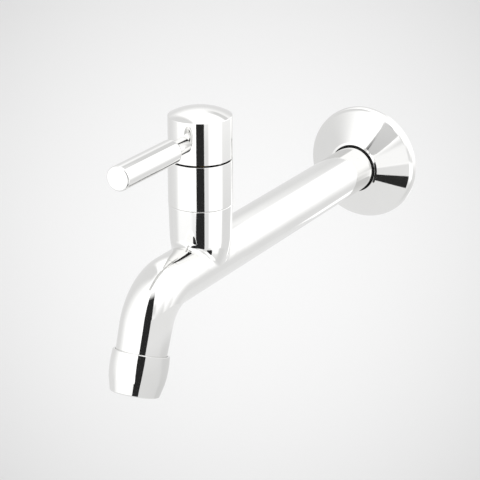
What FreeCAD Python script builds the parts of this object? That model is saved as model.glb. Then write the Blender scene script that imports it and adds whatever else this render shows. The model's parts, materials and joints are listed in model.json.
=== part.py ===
import FreeCAD, Part
import math
import os
from FreeCAD import Vector

# Wall-mounted tap, in millimetres. The origin is the centre of the inlet at the wall's surface,
# +Y goes into the wall, +Z is up and the tap reaches out along -Y.

# Tap body: tube, bend and spout
REACH = 186.7            # wall to valve axis
TUBE_R = 13.0
TUBE_WALL = 3.2
OVERHANG = 46.8          # valve axis to where the spout's axis crosses the tube's
SPOUT_TILT = 19.9        # degrees between the spout and plumb
BEND_R = 24.0            # centre line of the bend
SPOUT_DROP = 31.8        # along the spout, from that crossing to its shoulder
SPOUT_END_R = 12.7
OUTLET_THREAD_R = 11.0   # M22
OUTLET_THREAD_L = 8.0
OUTLET_WALL = 2.4

# Inlet nipple, G1/2
INLET_THREAD_R = 10.48
INLET_THREAD_L = 18.0
INLET_BORE_R = 7.0
INLET_MOUTH_CHAMFER = 1.0
INLET_FLARE_START = 4.0  # behind the wall's surface, where the nipple's bore begins to widen
INLET_FLARE_L = 6.0

# Valve boss and the bridge wall inside it
HEADWORK_R = 10.40       # G1/2 headwork
THREAD_GAP = 0.08
BOSS_WALL = 5.62
BOSS_TOP = 32.0          # above the tube's axis
BOSS_TAPER = 0.5         # the boss is narrower by this at its waist
BOSS_WAIST = 1.0         # above the tube
BOSS_FOOT_SUNK = 0.4     # narrower than the tube where it starts
BOSS_BELLY = 1.3         # wider than the tube at its belly
BOSS_BELLY_Z = 5.5
BOSS_FILLET = 3.2        # between the boss and the tube
BOSS_EDGE = 0.4
CHAMBER_RELIEF = 1.2     # annular chamber, wider than the thread
CHAMBER_TOP = 17.0
WELL_FLOOR = 2.5
BRIDGE = 2.8
SEAT_HOLE_R = 6.0
SEAT_REACH = 8.0         # inlet cavity past the valve axis

# Wall flange and its grip ring
FLANGE_R = 33.0
FLANGE_RIM = 0.4
FLANGE_EDGE_R = 4.8      # from the rim to the cone
FLANGE_NOSE = 0.35       # flat round the bore
FLANGE_DEPTH = 14.8
FLANGE_SHELL = 1.2
FLANGE_LIP = 2.4
GRIP_RING_T = 1.9
GRIP_RING_SET_BACK = 0.6
GRIP_RING_L = 3.4
SNUG = 0.03              # between pieces pushed together by hand

# Valve shroud
SHROUD_PROUD = 0.13      # beyond the boss
SHROUD_WALL = 1.8
SHROUD_H = 23.3
SHROUD_ROOF = 2.2
SHROUD_EDGE = 0.3

# Headwork
CAGE_WALL = 1.4
CAGE_RELIEF = 0.5        # the cage is slimmer than its thread
CAGE_LIFT = 0.8          # above the well's floor
SEAL_H = 2.7
SEAL_T = 2.3
DISC_T = 3.0
DISC_GAP = 0.05
DISC_CLEARANCE = 0.1
DISC_PORT_INNER_R = 3.7
DISC_PORT_RIM = 1.1
DISC_PORT_SPAN = 76.0
DISC_KEY_W = 3.0
FOOT_W = 5.0
FOOT_CLEARANCE = 0.05
FOOT_ENGAGEMENT = 1.5
FOOT_H = 6.2             # moving disc to the spindle's shoulder
WINDOW_MARGIN = 0.5
WINDOW_SPAN = 96.0
SHOULDER_T = 2.0
SHOULDER_CLEARANCE = 0.3
THRUST_T = 0.8
THRUST_GAP = 0.1
SPINDLE_R = 4.95
SPINDLE_GAP = 0.05
HEX_H = 4.5
HEX_GAP = 0.5            # hex corners to the shroud
NECK_WALL = 3.9
NECK_DROP = 0.7          # neck's top below the shroud's
O_RING_GROOVE = 1.1
O_RING_GROOVE_H = 1.6
O_RING_Z = (41.0, 47.0)
BONNET_RING_T = 1.76
BONNET_RING_GAP = 0.08
CIRCLIP_T = 0.8
CIRCLIP_W = 2.4
CIRCLIP_SEAT = 0.7
CIRCLIP_GAP = 0.15
CIRCLIP_MOUTH = 70.0
SPLINE_TEETH = 20
SPLINE_TIP_R = 3.95
SPLINE_DEPTH = 0.45
SPLINE_L = 9.3
SPLINE_GAP = 0.06

# Handle
HANDLE_GAP = 0.3
HUB_INSET = 0.1          # narrower than the boss
HUB_H = 21.6             # bottom to the dome's edge
HUB_CROWN = 4.1          # the dome's rise
HUB_EDGE_R = 0.4
HUB_WALL = 1.9
HUB_ROOF = 2.2           # under the dome's edge
INSERT_WALL = 1.9
INSERT_CAP = 1.2
HUB_BOSS_WALL = 1.9
HUB_BOSS_LIFT = 1.6
LEVER_RISE = 10.2        # hub's bottom to the lever's axis
LEVER_NECK_R = 4.2
LEVER_NECK_SEAT = 1.4    # the neck's pocket in the hub
LEVER_GRIP_START = 26.5  # from the valve axis
LEVER_END = 74.6
LEVER_GRIP_R = 6.22
LEVER_SHOULDER_R = 1.6
LEVER_END_R = 0.9
LEVER_STUD_R = 2.95
LEVER_STUD_L = 5.5
LEVER_BLOCK_W = 10.6
GRUB_R = 2.45
GRUB_L = 7.0
GRUB_BLOCK_W = 8.0
GRUB_SOCKET_AF = 2.5
GRUB_SOCKET_DEPTH = 2.4
GRUB_TIP_GAP = 0.1

# Aerator: a housing screwed on the spout, and what it holds
COLLAR_LAP = 2.0         # above the spout's shoulder
COLLAR_GAP = 0.25
COLLAR_H = 20.7
COLLAR_TOP_R = 14.2
COLLAR_BELLY_R = 14.45
COLLAR_BELLY_Z = 8.0
COLLAR_WAIST_R = 13.9
COLLAR_WAIST_Z = 14.0
COLLAR_MOUTH_R = 12.4
COLLAR_EDGE = 0.5
WASHER_T = 2.0
WASHER_BORE_R = 8.0
CAGE_FLANGE_T = 1.5
INSERT_BODY_R = 9.9
INSERT_SHELL = 1.4
INSERT_LEDGE = 0.6
GRID_T = 2.2
MOUTH_LIP = 0.5
MOUTH_LIP_H = 1.1
JET_PLATE_T = 1.2
JET_R = 0.75
JET_PITCH = 3.3
SCREEN_T = 0.4
SCREEN_PITCH = 1.3
CELL_AF = 1.9
CELL_WEB = 0.55
INSERT_GAP = 0.05

# Worked out from the sizes above
UP = Vector(0, 0, 1)
OUT = Vector(0, -1, 0)
VALVE = Vector(0, -REACH, 0)
TUBE_BORE_R = TUBE_R - TUBE_WALL
WELL_R = HEADWORK_R + THREAD_GAP
BOSS_R = WELL_R + BOSS_WALL
CHAMBER_R = WELL_R + CHAMBER_RELIEF
BEND_ANGLE = 90.0 - SPOUT_TILT
BEND_TANGENT = BEND_R * math.tan(math.radians(BEND_ANGLE / 2))
CROSSING = VALVE + OUT * OVERHANG
BEND_START = CROSSING - OUT * BEND_TANGENT
SPOUT_DIR = Vector(0, -math.sin(math.radians(SPOUT_TILT)), -math.cos(math.radians(SPOUT_TILT)))
SPOUT_START = CROSSING + SPOUT_DIR * BEND_TANGENT
SPOUT_SHOULDER = CROSSING + SPOUT_DIR * SPOUT_DROP
COLLAR_START = SPOUT_SHOULDER - SPOUT_DIR * COLLAR_LAP

SHROUD_R = BOSS_R + SHROUD_PROUD
SHROUD_BORE_R = SHROUD_R - SHROUD_WALL
SHROUD_TOP = BOSS_TOP + SHROUD_H
HUB_R = BOSS_R - HUB_INSET
HUB_BOTTOM = SHROUD_TOP + HANDLE_GAP
HUB_SHOULDER = HUB_BOTTOM + HUB_H
LEVER_Z = HUB_BOTTOM + LEVER_RISE

CAGE_R = HEADWORK_R - CAGE_RELIEF
CAGE_BORE_R = CAGE_R - CAGE_WALL
CAGE_BOTTOM = WELL_FLOOR + CAGE_LIFT
FIXED_DISC_Z = WELL_FLOOR + SEAL_H
MOVING_DISC_Z = FIXED_DISC_Z + DISC_T + DISC_GAP
MOVING_DISC_TOP = MOVING_DISC_Z + DISC_T
SHOULDER_Z = MOVING_DISC_TOP + FOOT_H
THRUST_Z = SHOULDER_Z + SHOULDER_T
BONNET_STEP = THRUST_Z + THRUST_T + THRUST_GAP
BONNET_BORE_R = SPINDLE_R + SPINDLE_GAP
NECK_R = BONNET_BORE_R + NECK_WALL
NECK_TOP = SHROUD_TOP - NECK_DROP
DISC_R = CAGE_BORE_R - DISC_CLEARANCE
HEX_CORNER_R = SHROUD_BORE_R - HEX_GAP
BONNET_RING_SEAT_R = WELL_R + BONNET_RING_T
CIRCLIP_Z = NECK_TOP + CIRCLIP_GAP
HUB_BOSS_Z = HUB_BOTTOM + HUB_BOSS_LIFT
INSERT_R = SPLINE_TIP_R + INSERT_WALL
INSERT_TOP = HUB_BOSS_Z + SPLINE_L + INSERT_CAP


def turned(outline):
    """Solid turned about local Z from (radius, height) points; a pair of points is an arc."""
    edges = []
    start = outline[0]
    for item in outline[1:] + outline[:1]:
        if isinstance(item[0], tuple):
            via, end = item
            curve = Part.Arc(in_plane(start), in_plane(via), in_plane(end))
        else:
            end = item
            curve = Part.LineSegment(in_plane(start), in_plane(end))
        edges.append(curve.toShape())
        start = end
    solid = Part.Face(Part.Wire(edges)).revolve(Vector(), UP, 360)
    if solid.Volume < 0:
        solid.reverse()
    return solid


def in_plane(point):
    return Vector(point[0], 0, point[1])


def rod(radius, bottom, top):
    return Part.makeCylinder(radius, top - bottom, Vector(0, 0, bottom))


def ring(inner, outer, bottom, top):
    return rod(outer, bottom, top).cut(rod(inner, bottom, top))


def o_ring(inner, outer, height):
    """Ring with an eight-sided section, flat where it is squeezed."""
    section_r = (outer - inner) / 2
    corner_r = section_r / math.cos(math.pi / 8)
    outline = []
    for i in range(8):
        angle = math.pi * (2 * i + 1) / 8
        outline.append((inner + section_r + corner_r * math.cos(angle),
                        height + corner_r * math.sin(angle)))
    return turned(outline)


def block(width, near, far, bottom, top):
    """Box of a width across X, from near to far along -Y."""
    return Part.makeBox(width, far - near, top - bottom, Vector(-width / 2, -far, bottom))


def prism(sides, corner_r, bottom, top):
    corners = []
    for i in range(sides + 1):
        angle = 2 * math.pi * i / sides
        corners.append(Vector(corner_r * math.cos(angle), corner_r * math.sin(angle), bottom))
    return Part.Face(Part.makePolygon(corners)).extrude(Vector(0, 0, top - bottom))


def sector(inner, outer, span, middle, bottom, top):
    """Part of a ring, span degrees wide, centred on the angle middle."""
    wedge = Part.makeCylinder(outer, top - bottom, Vector(0, 0, bottom), UP, span)
    wedge = wedge.cut(rod(inner, bottom, top))
    wedge.rotate(Vector(), UP, middle - span / 2)
    return wedge


def placed(shape, origin, direction=UP):
    """Turn local Z to a direction and move the local origin to its place."""
    shape = shape.copy()
    shape.Placement = FreeCAD.Placement(origin, FreeCAD.Rotation(UP, direction))
    return shape


def edge_circles(shape, radius, height):
    """Round edges of a turned shape, found by their size and place."""
    found = []
    for edge in shape.Edges:
        box = edge.BoundBox
        level = abs(box.ZMin - height) < 1e-4 and abs(box.ZMax - height) < 1e-4
        if level and abs(max(box.XMax, -box.XMin) - radius) < 1e-3:
            found.append(edge)
    return found


def bent(radius):
    """Quarter-like bend of the tube, from the straight run to the spout."""
    disc = Part.Face(Part.Wire(Part.makeCircle(radius, BEND_START, OUT)))
    return disc.revolve(BEND_START - UP * BEND_R, Vector(1, 0, 0), BEND_ANGLE)


def boss():
    belly, waist = (TUBE_R + BOSS_BELLY, BOSS_BELLY_Z), (BOSS_R - BOSS_TAPER, TUBE_R + BOSS_WAIST)
    outline = [(0, 0), (TUBE_R - BOSS_FOOT_SUNK, 0), (belly, waist),
               (BOSS_R, BOSS_TOP - BOSS_EDGE), (BOSS_R - BOSS_EDGE, BOSS_TOP), (0, BOSS_TOP)]
    return placed(turned(outline), VALVE)


def crease(shape):
    """The closed edge where the boss meets the tube."""
    found = []
    for edge in shape.Edges:
        box = edge.BoundBox
        on_tube = box.ZMin > 0 and box.ZMax < TUBE_R + BOSS_EDGE
        if on_tube and box.XLength > TUBE_R and box.YLength > BOSS_R:
            found.append(edge)
    return found


def body_outside():
    tube = Part.makeCylinder(TUBE_R, -BEND_START.y, Vector(), OUT)
    valve_body = tube.fuse(boss()).removeSplitter()
    valve_body = valve_body.makeFillet(BOSS_FILLET, crease(valve_body))
    nipple = placed(turned([(0, 0), (INLET_THREAD_R, 0),
                            (INLET_THREAD_R, INLET_THREAD_L - INLET_MOUTH_CHAMFER),
                            (INLET_THREAD_R - INLET_MOUTH_CHAMFER, INLET_THREAD_L),
                            (0, INLET_THREAD_L)]), Vector(), -OUT)
    spout_l = SPOUT_DROP - BEND_TANGENT
    spout = placed(turned([(0, 0), (TUBE_R, 0), (SPOUT_END_R, spout_l), (0, spout_l)]),
                   SPOUT_START, SPOUT_DIR)
    outlet = placed(rod(OUTLET_THREAD_R, 0, OUTLET_THREAD_L), SPOUT_SHOULDER, SPOUT_DIR)
    return valve_body.multiFuse([nipple, bent(TUBE_R), spout, outlet]).removeSplitter()


def inlet_cavity():
    """From the nipple along the tube, then low under the valve seat and up through it."""
    flare_end = INLET_FLARE_START + INLET_FLARE_L
    back_wall = REACH - CHAMBER_R - BRIDGE
    outline = [(0, -INLET_THREAD_L), (INLET_BORE_R, -INLET_THREAD_L),
               (INLET_BORE_R, INLET_FLARE_START), (TUBE_BORE_R, flare_end),
               (TUBE_BORE_R, back_wall), (0, back_wall)]
    tube = placed(turned(outline), Vector(), OUT)
    low = Part.makeCylinder(TUBE_BORE_R, REACH + SEAT_REACH - back_wall, OUT * back_wall, OUT)
    keep = placed(block(2 * TUBE_R, -REACH, SEAT_REACH, -TUBE_R, WELL_FLOOR - BRIDGE), VALVE)
    seat = placed(rod(SEAT_HOLE_R, -BRIDGE, WELL_FLOOR), VALVE)
    return tube.fuse(low.common(keep)).fuse(seat)


def outlet_cavity():
    """The headwork's well, its annular chamber, and the way forward into the spout."""
    well = placed(turned([(0, WELL_FLOOR), (CHAMBER_R, WELL_FLOOR), (CHAMBER_R, CHAMBER_TOP),
                          (WELL_R, CHAMBER_TOP + CHAMBER_RELIEF),
                          (WELL_R, BOSS_TOP - BONNET_RING_T),
                          (BONNET_RING_SEAT_R, BOSS_TOP - BONNET_RING_T),
                          (BONNET_RING_SEAT_R, BOSS_TOP), (0, BOSS_TOP)]), VALVE)
    front_wall = SEAT_REACH + BRIDGE
    ahead = Part.makeCylinder(TUBE_BORE_R, -BEND_START.y - REACH, VALVE, OUT)
    over_bridge = placed(block(2 * TUBE_R, 0, OVERHANG, WELL_FLOOR, TUBE_R), VALVE)
    past_bridge = placed(block(2 * TUBE_R, front_wall, OVERHANG, -TUBE_R, TUBE_R), VALVE)
    forward = ahead.common(over_bridge.fuse(past_bridge))
    outlet_r = OUTLET_THREAD_R - OUTLET_WALL
    neck = SPOUT_DROP - BEND_TANGENT - TUBE_WALL
    end = SPOUT_DROP - BEND_TANGENT + OUTLET_THREAD_L
    spout = placed(turned([(0, 0), (TUBE_BORE_R, 0), (TUBE_BORE_R, neck - OUTLET_WALL / 2),
                           (outlet_r, neck), (outlet_r, end), (0, end)]), SPOUT_START, SPOUT_DIR)
    return well.multiFuse([forward, bent(TUBE_BORE_R), spout])


def tap_body():
    return body_outside().cut(inlet_cavity()).cut(outlet_cavity())


def flange_bore_r():
    return TUBE_R + GRIP_RING_T


def around(centre, radius, angle):
    return centre[0] + radius * math.cos(angle), centre[1] + radius * math.sin(angle)


def wall_flange():
    """Thin cone shell, hollow towards the wall, with a rounded rim and a collar round the tube."""
    bore = flange_bore_r()
    inner_r = FLANGE_R - FLANGE_SHELL
    edge_centre = (FLANGE_R - FLANGE_EDGE_R, FLANGE_RIM)
    run, rise = bore + FLANGE_NOSE - edge_centre[0], FLANGE_DEPTH - edge_centre[1]
    turn = math.atan2(rise, run) - math.acos(FLANGE_EDGE_R / math.hypot(run, rise))
    outside, inside = [[around(edge_centre, radius, share * turn) for share in (0.5, 1)]
                       for radius in (FLANGE_EDGE_R, FLANGE_EDGE_R - FLANGE_SHELL)]
    outline = [(FLANGE_R, 0), (FLANGE_R, FLANGE_RIM), tuple(outside),
               (bore + FLANGE_NOSE, FLANGE_DEPTH), (bore, FLANGE_DEPTH),
               (bore, FLANGE_DEPTH - FLANGE_LIP), (bore + FLANGE_SHELL, FLANGE_DEPTH - FLANGE_LIP),
               inside[1], (inside[0], (inner_r, FLANGE_RIM)), (inner_r, 0)]
    return placed(turned(outline), Vector(), OUT)


def flange_grip_ring():
    front = FLANGE_DEPTH - GRIP_RING_SET_BACK
    bead = ring(TUBE_R + SNUG, flange_bore_r() - SNUG, front - GRIP_RING_L, front)
    return placed(bead, Vector(), OUT)


def valve_shroud():
    inner_top = SHROUD_TOP - SHROUD_ROOF
    outline = [(SHROUD_BORE_R, BOSS_TOP), (SHROUD_R, BOSS_TOP), (SHROUD_R, SHROUD_TOP - SHROUD_EDGE),
               (SHROUD_R - SHROUD_EDGE, SHROUD_TOP), (NECK_R + SNUG, SHROUD_TOP),
               (NECK_R + SNUG, inner_top), (SHROUD_BORE_R, inner_top)]
    return placed(turned(outline), VALVE)


def cartridge_bonnet():
    """Brass headwork body: cage with two side windows, thread, hexagon and neck."""
    outside = turned([(0, CAGE_BOTTOM), (CAGE_R, CAGE_BOTTOM), (CAGE_R, CHAMBER_TOP),
                      (HEADWORK_R, CHAMBER_TOP + CHAMBER_RELIEF), (HEADWORK_R, BOSS_TOP),
                      (NECK_R, BOSS_TOP), (NECK_R, NECK_TOP), (0, NECK_TOP)])
    hexagon = prism(6, HEX_CORNER_R, BOSS_TOP, BOSS_TOP + HEX_H)
    bore = rod(CAGE_BORE_R, CAGE_BOTTOM, BONNET_STEP).fuse(rod(BONNET_BORE_R, BONNET_STEP, NECK_TOP))
    solid = outside.fuse(hexagon).cut(bore)
    low = MOVING_DISC_TOP + WINDOW_MARGIN
    high = SHOULDER_Z - WINDOW_MARGIN
    for middle in (0, 180):
        solid = solid.cut(sector(CAGE_BORE_R - 1, CAGE_R + 1, WINDOW_SPAN, middle, low, high))
    slot = block(DISC_KEY_W + 2 * DISC_CLEARANCE, -CAGE_R - 1, CAGE_R + 1, CAGE_BOTTOM,
                 FIXED_DISC_Z + DISC_T)
    return placed(solid.cut(slot), VALVE)


def ports(middle, bottom):
    """The two openings through a ceramic disc."""
    outer = DISC_R - DISC_PORT_RIM
    pair = [sector(DISC_PORT_INNER_R, outer, DISC_PORT_SPAN, middle + turn, bottom, bottom + DISC_T)
            for turn in (0, 180)]
    return pair[0].fuse(pair[1])


def fixed_disc():
    key_reach = CAGE_R - DISC_CLEARANCE
    keys = block(DISC_KEY_W, -key_reach, key_reach, FIXED_DISC_Z, FIXED_DISC_Z + DISC_T)
    disc = rod(DISC_R, FIXED_DISC_Z, FIXED_DISC_Z + DISC_T).fuse(keys).removeSplitter()
    return placed(disc.cut(ports(0, FIXED_DISC_Z)), VALVE)


def foot(clearance):
    """The spindle's drive bar, or the slot that it turns, made wider by a clearance."""
    reach = DISC_R - DISC_PORT_RIM
    return block(FOOT_W + 2 * clearance, -reach - clearance, reach + clearance,
                 MOVING_DISC_TOP - FOOT_ENGAGEMENT - clearance, SHOULDER_Z)


def moving_disc():
    disc = rod(DISC_R, MOVING_DISC_Z, MOVING_DISC_TOP)
    return placed(disc.cut(foot(2 * FOOT_CLEARANCE)).cut(ports(0, MOVING_DISC_Z)), VALVE)


def seat_seal():
    return placed(ring(DISC_R - SEAL_T, DISC_R, WELL_FLOOR, FIXED_DISC_Z), VALVE)


def bonnet_o_ring():
    inner = HEADWORK_R + BONNET_RING_GAP
    outer = BONNET_RING_SEAT_R - BONNET_RING_GAP
    return placed(o_ring(inner, outer, BOSS_TOP - BONNET_RING_T / 2), VALVE)


def spline(tip_r, bottom, top):
    """Straight-toothed spline: a star outline, drawn up along the axis."""
    root_r = tip_r - SPLINE_DEPTH
    step = 2 * math.pi / SPLINE_TEETH
    corners = []
    for tooth in range(SPLINE_TEETH):
        for share, radius in ((0.0, root_r), (0.2, root_r), (0.5, tip_r), (0.7, tip_r)):
            angle = (tooth + share) * step
            corners.append(Vector(radius * math.cos(angle), radius * math.sin(angle), bottom))
    corners.append(corners[0])
    return Part.Face(Part.makePolygon(corners)).extrude(Vector(0, 0, top - bottom))


def spindle():
    shaft = rod(SPINDLE_R, THRUST_Z, HUB_BOSS_Z)
    shoulder = rod(CAGE_BORE_R - SHOULDER_CLEARANCE, SHOULDER_Z, THRUST_Z)
    teeth = spline(SPLINE_TIP_R, HUB_BOSS_Z, HUB_BOSS_Z + SPLINE_L)
    solid = shaft.multiFuse([shoulder, foot(0), teeth])
    for height in O_RING_Z:
        solid = solid.cut(ring(SPINDLE_R - O_RING_GROOVE, SPINDLE_R + 1,
                               height - O_RING_GROOVE_H / 2, height + O_RING_GROOVE_H / 2))
    groove = ring(SPINDLE_R - CIRCLIP_SEAT, SPINDLE_R + 1, CIRCLIP_Z, CIRCLIP_Z + CIRCLIP_T)
    return placed(solid.cut(groove), VALVE)


def spindle_o_ring(height):
    return placed(o_ring(SPINDLE_R - O_RING_GROOVE + SNUG, SPINDLE_R, height), VALVE)


def spindle_circlip():
    inner = SPINDLE_R - CIRCLIP_SEAT + SNUG
    clip = sector(inner, inner + CIRCLIP_W, 360 - CIRCLIP_MOUTH, 90, CIRCLIP_Z, CIRCLIP_Z + CIRCLIP_T)
    return placed(clip, VALVE)


def thrust_washer():
    outer = CAGE_BORE_R - SHOULDER_CLEARANCE
    return placed(ring(SPINDLE_R + SNUG, outer, THRUST_Z, THRUST_Z + THRUST_T), VALVE)


def hub_outside():
    """Cylinder with a domed end and a small radius round the dome's edge."""
    dome_r = (HUB_R ** 2 + HUB_CROWN ** 2) / (2 * HUB_CROWN)
    dome_z = HUB_SHOULDER + HUB_CROWN - dome_r
    side_on = (HUB_R / 2, dome_z + math.sqrt(dome_r ** 2 - HUB_R ** 2 / 4))
    shape = turned([(0, HUB_BOTTOM), (HUB_R - SHROUD_EDGE, HUB_BOTTOM),
                    (HUB_R, HUB_BOTTOM + SHROUD_EDGE), (HUB_R, HUB_SHOULDER),
                    (side_on, (0, HUB_SHOULDER + HUB_CROWN))])
    return shape.makeFillet(HUB_EDGE_R, edge_circles(shape, HUB_R, HUB_SHOULDER))


def handle_hub():
    """Turned cap, cored from below, with a splined boss, a lever block and a screw block."""
    roof = HUB_SHOULDER - HUB_ROOF
    core = rod(HUB_R - HUB_WALL, HUB_BOTTOM, roof)
    core = core.cut(rod(INSERT_R + HUB_BOSS_WALL, HUB_BOSS_Z, roof))
    core = core.cut(block(LEVER_BLOCK_W, 0, HUB_R, LEVER_Z - LEVER_BLOCK_W / 2, roof))
    core = core.cut(block(GRUB_BLOCK_W, -HUB_R, 0, LEVER_Z - GRUB_BLOCK_W / 2, roof))
    solid = hub_outside().cut(core)
    solid = solid.cut(rod(INSERT_R + SNUG, HUB_BOSS_Z, INSERT_TOP))
    pocket = HUB_R - LEVER_NECK_SEAT
    lever_axis = Vector(0, 0, LEVER_Z)
    stud_end = pocket - LEVER_STUD_L - SNUG
    holes = [Part.makeCylinder(LEVER_NECK_R + SNUG, HUB_R, lever_axis + OUT * pocket, OUT),
             Part.makeCylinder(LEVER_STUD_R + SNUG, HUB_R, lever_axis + OUT * stud_end, OUT),
             Part.makeCylinder(GRUB_R + SNUG, HUB_R, lever_axis, -OUT)]
    for hole in holes:
        solid = solid.cut(hole)
    return placed(solid, VALVE)


def spline_insert():
    bush = rod(INSERT_R, HUB_BOSS_Z, INSERT_TOP)
    bush = bush.cut(spline(SPLINE_TIP_R + SPLINE_GAP, HUB_BOSS_Z, HUB_BOSS_Z + SPLINE_L))
    return placed(bush, VALVE)


def lever_rod():
    """Stud, neck and grip turned from one bar, along the lever's axis from the valve axis."""
    seat = HUB_R - LEVER_NECK_SEAT
    stud_start = seat - LEVER_STUD_L
    bar = turned([(0, stud_start), (LEVER_STUD_R, stud_start), (LEVER_STUD_R, seat),
                  (LEVER_NECK_R, seat), (LEVER_NECK_R, LEVER_GRIP_START),
                  (LEVER_GRIP_R, LEVER_GRIP_START), (LEVER_GRIP_R, LEVER_END), (0, LEVER_END)])
    bar = bar.makeFillet(LEVER_SHOULDER_R, edge_circles(bar, LEVER_GRIP_R, LEVER_GRIP_START))
    bar = bar.makeFillet(LEVER_END_R, edge_circles(bar, LEVER_GRIP_R, LEVER_END))
    return placed(bar, VALVE + UP * LEVER_Z, OUT)


def handle_grub_screw():
    tip = INSERT_R + GRUB_TIP_GAP
    screw = rod(GRUB_R, tip, tip + GRUB_L)
    corner = GRUB_SOCKET_AF / 2 / math.cos(math.pi / 6)
    socket = prism(6, corner, tip + GRUB_L - GRUB_SOCKET_DEPTH, tip + GRUB_L)
    return placed(screw.cut(socket), VALVE + UP * LEVER_Z, -OUT)


def aerator_stack():
    """Heights below the collar's top: spout's end, cage flange's top and underside."""
    spout_end = COLLAR_LAP + OUTLET_THREAD_L
    flange_top = spout_end + WASHER_T
    return spout_end, flange_top, flange_top + CAGE_FLANGE_T


def on_spout(shape):
    return placed(shape, COLLAR_START, SPOUT_DIR)


def aerator_housing():
    """Barrel-shaped collar with a recess round the spout, a thread and a ledge inside."""
    ledge = aerator_stack()[2]
    recess_r = SPOUT_END_R + COLLAR_GAP
    thread_r = OUTLET_THREAD_R + SNUG
    bore_r = INSERT_BODY_R + INSERT_GAP
    mouth = COLLAR_H - MOUTH_LIP_H
    edge = COLLAR_EDGE
    outline = [(recess_r, 0), (COLLAR_TOP_R - edge, 0), (COLLAR_TOP_R, edge),
               ((COLLAR_BELLY_R, COLLAR_BELLY_Z), (COLLAR_WAIST_R, COLLAR_WAIST_Z)),
               (COLLAR_MOUTH_R, COLLAR_H - edge), (COLLAR_MOUTH_R - edge, COLLAR_H),
               (bore_r - MOUTH_LIP, COLLAR_H), (bore_r - MOUTH_LIP, mouth), (bore_r, mouth),
               (bore_r, ledge), (thread_r, ledge), (thread_r, COLLAR_LAP + COLLAR_GAP),
               (recess_r, COLLAR_LAP + COLLAR_GAP)]
    return on_spout(turned(outline))


def aerator_washer():
    spout_end, flange_top, _ = aerator_stack()
    return on_spout(ring(WASHER_BORE_R, OUTLET_THREAD_R - INSERT_GAP, spout_end, flange_top))


def insert_bottom():
    return COLLAR_H - MOUTH_LIP_H - INSERT_GAP


def aerator_cage():
    """Flanged plastic sleeve with an inner ledge between the screens and the outlet grid."""
    _, top, ledge = aerator_stack()
    bore = INSERT_BODY_R - INSERT_SHELL
    bottom = insert_bottom()
    grid_top = bottom - GRID_T
    outline = [(bore, top), (OUTLET_THREAD_R - INSERT_GAP, top), (OUTLET_THREAD_R - INSERT_GAP, ledge),
               (INSERT_BODY_R, ledge), (INSERT_BODY_R, bottom), (bore, bottom), (bore, grid_top),
               (bore - INSERT_LEDGE, grid_top), (bore - INSERT_LEDGE, grid_top - INSERT_LEDGE),
               (bore, grid_top - INSERT_LEDGE)]
    return on_spout(turned(outline))


def insert_disc(top, thickness):
    return rod(INSERT_BODY_R - INSERT_SHELL - INSERT_GAP, top, top + thickness)


def lattice(pitch, reach):
    """Centres on a triangular lattice, no further out than reach."""
    rows = int(reach / (pitch * math.sqrt(0.75)))
    columns = int(reach / pitch) + 1
    centres = []
    for row in range(-rows, rows + 1):
        for column in range(-columns, columns + 1):
            x = pitch * (column + 0.5 * (row % 2))
            y = pitch * math.sqrt(0.75) * row
            if math.hypot(x, y) <= reach:
                centres.append(Vector(x, y, 0))
    return centres


def pierced(disc, hole, pitch, reach):
    copies = []
    for centre in lattice(pitch, reach):
        copy = hole.copy()
        copy.translate(centre)
        copies.append(copy)
    return disc.cut(Part.makeCompound(copies))


def jet_plate():
    top = aerator_stack()[1]
    plate = insert_disc(top, JET_PLATE_T)
    reach = INSERT_BODY_R - INSERT_SHELL - 2 * JET_R
    hole = prism(6, JET_R, top, top + JET_PLATE_T)
    return on_spout(pierced(plate, hole, JET_PITCH, reach))


def aerator_screen(number):
    seat = insert_bottom() - GRID_T - INSERT_LEDGE
    return on_spout(insert_disc(seat - SCREEN_T - number * SCREEN_PITCH, SCREEN_T))


def outlet_grid():
    """Honeycomb that straightens the stream, seen from below."""
    bottom = insert_bottom()
    disc = insert_disc(bottom - GRID_T, GRID_T)
    corner = CELL_AF / 2 / math.cos(math.pi / 6)
    cell = prism(6, corner, bottom - GRID_T, bottom)
    cell.rotate(Vector(), UP, 30)
    reach = INSERT_BODY_R - INSERT_SHELL - corner - CELL_WEB
    return on_spout(pierced(disc, cell, CELL_AF + CELL_WEB, reach))


def all_parts():
    return {
        "tap_body": tap_body(),
        "wall_flange": wall_flange(),
        "flange_grip_ring": flange_grip_ring(),
        "valve_shroud": valve_shroud(),
        "cartridge_bonnet": cartridge_bonnet(),
        "bonnet_o_ring": bonnet_o_ring(),
        "seat_seal": seat_seal(),
        "fixed_disc": fixed_disc(),
        "moving_disc": moving_disc(),
        "spindle": spindle(),
        "thrust_washer": thrust_washer(),
        "spindle_o_ring_lower": spindle_o_ring(O_RING_Z[0]),
        "spindle_o_ring_upper": spindle_o_ring(O_RING_Z[1]),
        "spindle_circlip": spindle_circlip(),
        "handle_hub": handle_hub(),
        "spline_insert": spline_insert(),
        "lever_rod": lever_rod(),
        "handle_grub_screw": handle_grub_screw(),
        "aerator_housing": aerator_housing(),
        "aerator_washer": aerator_washer(),
        "aerator_cage": aerator_cage(),
        "jet_plate": jet_plate(),
        "aerator_screen_upper": aerator_screen(1),
        "aerator_screen_lower": aerator_screen(0),
        "outlet_grid": outlet_grid(),
    }


os.makedirs("parts", exist_ok=True)
for name, shape in all_parts().items():
    shape.exportStep("parts/" + name + ".step")
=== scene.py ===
import json
import math

import bmesh
import bpy
import numpy as np
from mathutils import Matrix, Vector

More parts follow.
